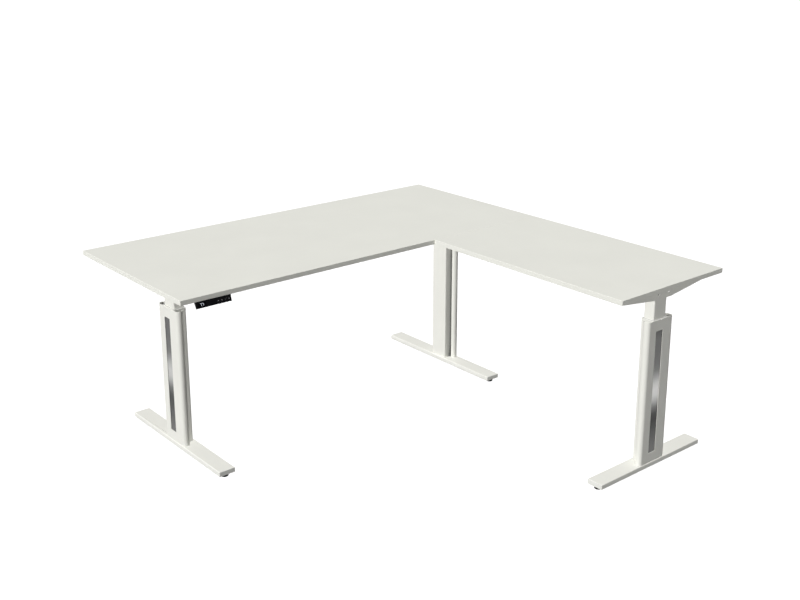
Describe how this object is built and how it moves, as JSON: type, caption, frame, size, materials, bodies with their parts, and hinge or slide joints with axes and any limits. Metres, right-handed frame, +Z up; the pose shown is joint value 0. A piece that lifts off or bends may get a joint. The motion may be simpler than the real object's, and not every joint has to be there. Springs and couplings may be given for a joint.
{
  "type": "height adjustable L-shaped desk",
  "caption": "L-shaped sit-stand desk: a long top and a shorter return on telescopic lifting columns with flat bar feet, moved by a hand controller under the front edge.",
  "frame": {"origin": "on the floor, at the middle of the desk's square outline", "axes": "+X along the main top towards the return, +Y from the return's free end towards the main top's back edge, +Z up"},
  "size_m": [1.8, 1.8, 0.775],
  "materials": {
    "board_laminate": "chipboard core faced with matt white melamine",
    "edge_band": "matt white edge band",
    "white_powder_coat": "white powder-coated steel, fine texture",
    "decor_strip": "dark satin metal",
    "bare_steel": "zinc-plated steel",
    "spindle_steel": "rolled thread, lightly greased",
    "screw_steel": "zinc-plated",
    "motor_black": "black painted tube",
    "nut_plastic": "natural acetal",
    "guide_plastic": "light grey plastic",
    "cap_plastic": "white moulded plastic",
    "glide_plastic": "black moulded plastic",
    "box_plastic": "black textured plastic",
    "socket_plastic": "black plastic",
    "circuit_board": "green circuit board",
    "controller_plastic": "black satin plastic",
    "display_window": "glossy dark window",
    "key_plastic": "black satin plastic"
  },
  "bodies": {
    "base": {"foot_end_caps": "cap_plastic", "foot_screws": "screw_steel", "glide_inserts": "screw_steel", "guide_collars": "guide_plastic", "left_cover": "white_powder_coat", "left_decor_strip": "decor_strip", "left_foot": "white_powder_coat", "left_outer_tube": "white_powder_coat", "left_standpipe": "bare_steel", "middle_cover": "white_powder_coat", "middle_decor_strip": "decor_strip", "middle_foot": "white_powder_coat", "middle_outer_tube": "white_powder_coat", "middle_standpipe": "bare_steel", "return_cover": "white_powder_coat", "return_decor_strip": "decor_strip", "return_foot": "white_powder_coat", "return_outer_tube": "white_powder_coat", "return_standpipe": "bare_steel", "spindle_nuts": "nut_plastic"},
    "top": {"main_top": "board_laminate", "return_top": "board_laminate", "main_edge_band": "edge_band", "return_edge_band": "edge_band", "joining_plates": "bare_steel", "main_front_rail": "white_powder_coat", "main_back_rail": "white_powder_coat", "return_left_rail": "white_powder_coat", "return_right_rail": "white_powder_coat", "rail_bolts": "screw_steel", "board_screws": "screw_steel", "arm_screws": "screw_steel", "lift_tube_shoes": "guide_plastic", "control_box": "box_plastic", "control_circuit_board": "circuit_board", "control_sockets": "socket_plastic", "hand_controller_housing": "controller_plastic", "hand_controller_display": "display_window", "left_arm": "white_powder_coat", "left_lift_tube": "white_powder_coat", "left_motor": "motor_black", "middle_arm": "white_powder_coat", "middle_lift_tube": "white_powder_coat", "middle_motor": "motor_black", "return_arm": "white_powder_coat", "return_lift_tube": "white_powder_coat", "return_motor": "motor_black"},
    "left_spindle": {"left_spindle": "spindle_steel"},
    "middle_spindle": {"middle_spindle": "spindle_steel"},
    "return_spindle": {"return_spindle": "spindle_steel"},
    "left_glide_a": {"left_glide_a": "glide_plastic"},
    "left_glide_b": {"left_glide_b": "glide_plastic"},
    "middle_glide_a": {"middle_glide_a": "glide_plastic"},
    "middle_glide_b": {"middle_glide_b": "glide_plastic"},
    "return_glide_a": {"return_glide_a": "glide_plastic"},
    "return_glide_b": {"return_glide_b": "glide_plastic"},
    "key_up": {"key_up": "key_plastic"},
    "key_down": {"key_down": "key_plastic"},
    "key_memory_one": {"key_memory_one": "key_plastic"},
    "key_memory_two": {"key_memory_two": "key_plastic"}
  },
  "joints": [
    {"name": "lift", "type": "slide", "parent": "base", "child": "top", "axis": [0, 0, 1], "range_m": [-0.055, 0.425]},
    {"name": "left_spindle_turn", "type": "hinge", "parent": "top", "child": "left_spindle", "pos_m": [-0.714, 0.5, 0.6], "axis": [0, 0, 1], "range_deg": [-1980, 15300]},
    {"name": "middle_spindle_turn", "type": "hinge", "parent": "top", "child": "middle_spindle", "pos_m": [0.714, 0.5, 0.6], "axis": [0, 0, 1], "range_deg": [-1980, 15300]},
    {"name": "return_spindle_turn", "type": "hinge", "parent": "top", "child": "return_spindle", "pos_m": [0.6, -0.819, 0.6], "axis": [0, 0, 1], "range_deg": [-1980, 15300]},
    {"name": "left_glide_a_level", "type": "slide", "parent": "base", "child": "left_glide_a", "axis": [0, 0, -1], "range_m": [0, 0.01]},
    {"name": "left_glide_b_level", "type": "slide", "parent": "base", "child": "left_glide_b", "axis": [0, 0, -1], "range_m": [0, 0.01]},
    {"name": "middle_glide_a_level", "type": "slide", "parent": "base", "child": "middle_glide_a", "axis": [0, 0, -1], "range_m": [0, 0.01]},
    {"name": "middle_glide_b_level", "type": "slide", "parent": "base", "child": "middle_glide_b", "axis": [0, 0, -1], "range_m": [0, 0.01]},
    {"name": "return_glide_a_level", "type": "slide", "parent": "base", "child": "return_glide_a", "axis": [0, 0, -1], "range_m": [0, 0.01]},
    {"name": "return_glide_b_level", "type": "slide", "parent": "base", "child": "return_glide_b", "axis": [0, 0, -1], "range_m": [0, 0.01]},
    {"name": "key_up_press", "type": "slide", "parent": "top", "child": "key_up", "axis": [0, 0.9689, -0.2474], "range_m": [0, 0.001], "stiffness_N_per_m": 800, "springref_m": -0.001},
    {"name": "key_down_press", "type": "slide", "parent": "top", "child": "key_down", "axis": [0, 0.9689, -0.2474], "range_m": [0, 0.001], "stiffness_N_per_m": 800, "springref_m": -0.001},
    {"name": "key_memory_one_press", "type": "slide", "parent": "top", "child": "key_memory_one", "axis": [0, 0.9689, -0.2474], "range_m": [0, 0.001], "stiffness_N_per_m": 800, "springref_m": -0.001},
    {"name": "key_memory_two_press", "type": "slide", "parent": "top", "child": "key_memory_two", "axis": [0, 0.9689, -0.2474], "range_m": [0, 0.001], "stiffness_N_per_m": 800, "springref_m": -0.001}
  ],
  "couplings": [
    {"joint": "left_spindle_turn", "follows": "lift", "rad_per_m": 628.32},
    {"joint": "middle_spindle_turn", "follows": "lift", "rad_per_m": 628.32},
    {"joint": "return_spindle_turn", "follows": "lift", "rad_per_m": 628.32}
  ]
}
